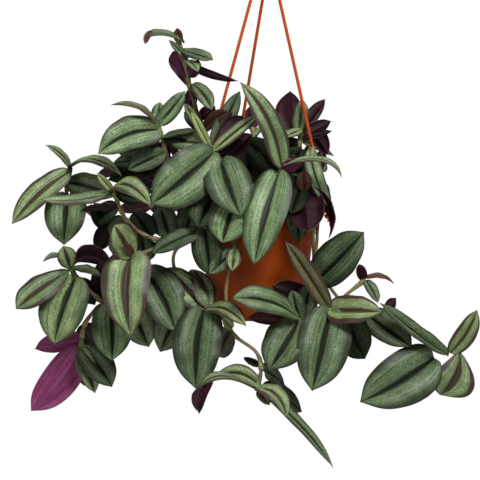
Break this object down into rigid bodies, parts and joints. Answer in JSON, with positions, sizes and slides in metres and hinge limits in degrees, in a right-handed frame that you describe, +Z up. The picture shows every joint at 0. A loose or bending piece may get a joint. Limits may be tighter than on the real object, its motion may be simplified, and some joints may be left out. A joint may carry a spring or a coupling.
{
  "type": "hanging potted plant",
  "caption": "Trailing plant with long striped leaves in a round tapered hanging pot, held by cords that meet in a hook above it.",
  "frame": {"origin": "the point inside the hook's crook, under its top, that bears on the ceiling hook or rod that the pot hangs from", "axes": "+Z up, along the way that the hook is held; +X to the right of the picture's view; -Y towards its camera"},
  "size_m": [0.457, 0.2562, 0.5522],
  "materials": {
    "pot": "satin terracotta-coloured plastic",
    "hook": "satin terracotta-coloured plastic",
    "soil": "dark moist potting soil",
    "cord": "braided orange cord",
    "leaf": "satin leaf, silver and green stripes above and purple below"
  },
  "bodies": {
    "root": {"pot": "pot", "soil": "soil", "hook": "hook", "cord_1": "cord", "cord_2": "cord", "cord_3": "cord", "knot_1": "cord", "knot_2": "cord", "knot_3": "cord", "leafy_stem_left_high": "leaf", "leafy_stem_left_middle": "leaf", "leafy_stem_left_big": "leaf", "leafy_stem_left_low": "leaf", "leafy_stem_front_left": "leaf", "leafy_stem_front": "leaf", "leafy_stem_right_low": "leaf", "leafy_stem_right_far": "leaf", "leafy_stem_centre_right": "leaf", "leafy_stem_centre": "leaf", "leafy_stem_upper_left": "leaf", "leafy_stem_upright": "leaf", "leafy_stem_right_high": "leaf", "leafy_stem_right_middle": "leaf", "leafy_stem_back": "leaf", "leafy_stem_back_right": "leaf", "leafy_stem_back_left": "leaf", "leafy_stem_side_left": "leaf", "leafy_stem_side_right": "leaf", "leafy_stem_back_upright": "leaf"}
  },
  "joints": []
}
